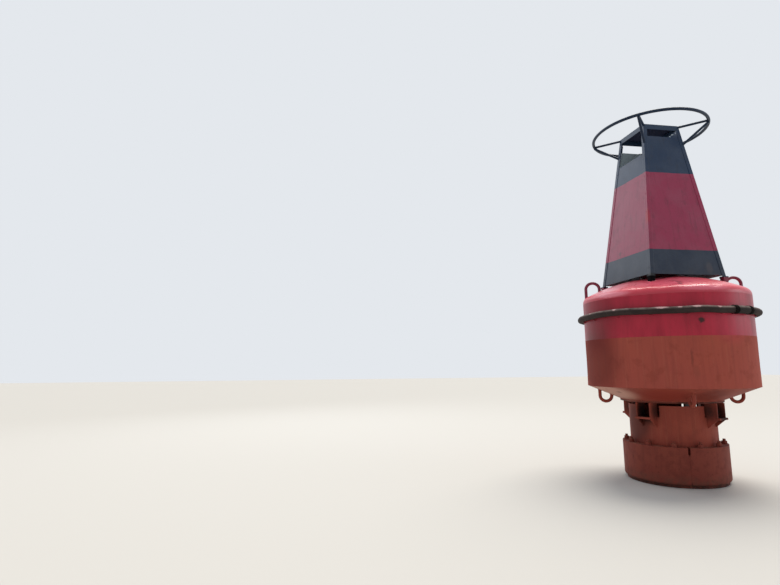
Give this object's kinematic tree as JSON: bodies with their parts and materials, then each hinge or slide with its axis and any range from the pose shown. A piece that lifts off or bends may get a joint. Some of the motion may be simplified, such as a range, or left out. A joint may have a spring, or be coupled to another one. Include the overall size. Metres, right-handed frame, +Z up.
{
  "type": "navigation buoy",
  "caption": "Steel navigation buoy standing ashore: round float with dished deck and rubber fender, iron ballast on a tail tube, plated lattice tower with a guard ring.",
  "frame": {"origin": "centre of the base flange's underside, on the ground", "axes": "+Z up along the buoy's axis; the tower's sides face -Y, +X, +Y and -X"},
  "size_m": [2.6004, 2.6004, 5.6306],
  "materials": {
    "antifouling_paint": "matt brown antifouling over steel",
    "ballast_iron": "painted cast iron, matt",
    "hull_paint": "red above the waterline, brown antifouling below",
    "red_paint": "semi-gloss red marine paint",
    "tower_paint": "black, red and black bands, semi-gloss",
    "black_paint": "semi-gloss black marine paint",
    "fender_rubber": "weathered rubber hose",
    "sleeve_rubber": "dark rubber sleeve"
  },
  "bodies": {
    "root": {"base_flange": "antifouling_paint", "tail_tube": "antifouling_paint", "ballast_1": "ballast_iron", "ballast_2": "ballast_iron", "ballast_3": "ballast_iron", "ballast_4": "ballast_iron", "tie_bolts": "ballast_iron", "bracket_1": "antifouling_paint", "bracket_2": "antifouling_paint", "bracket_3": "antifouling_paint", "bracket_4": "antifouling_paint", "hull_bottom": "antifouling_paint", "hull_side": "hull_paint", "hull_deck": "red_paint", "mooring_eye_1": "antifouling_paint", "mooring_eye_2": "antifouling_paint", "mooring_eye_3": "antifouling_paint", "mooring_eye_4": "antifouling_paint", "lifting_eye_1": "red_paint", "lifting_eye_2": "red_paint", "fender_hose": "fender_rubber", "fender_sleeve": "sleeve_rubber", "fender_cleats": "red_paint", "hatch_coaming": "red_paint", "hatch_cover": "red_paint", "foot_1": "red_paint", "foot_2": "red_paint", "foot_3": "red_paint", "foot_4": "red_paint", "leg_1": "tower_paint", "leg_2": "tower_paint", "leg_3": "tower_paint", "leg_4": "tower_paint", "panel_front": "tower_paint", "panel_right": "tower_paint", "panel_back": "tower_paint", "panel_left": "tower_paint", "rail_low": "black_paint", "rail_high": "black_paint", "rim": "black_paint", "top_plate": "black_paint", "guard_ring": "black_paint", "guard_struts": "black_paint", "guard_braces": "black_paint"}
  },
  "joints": []
}
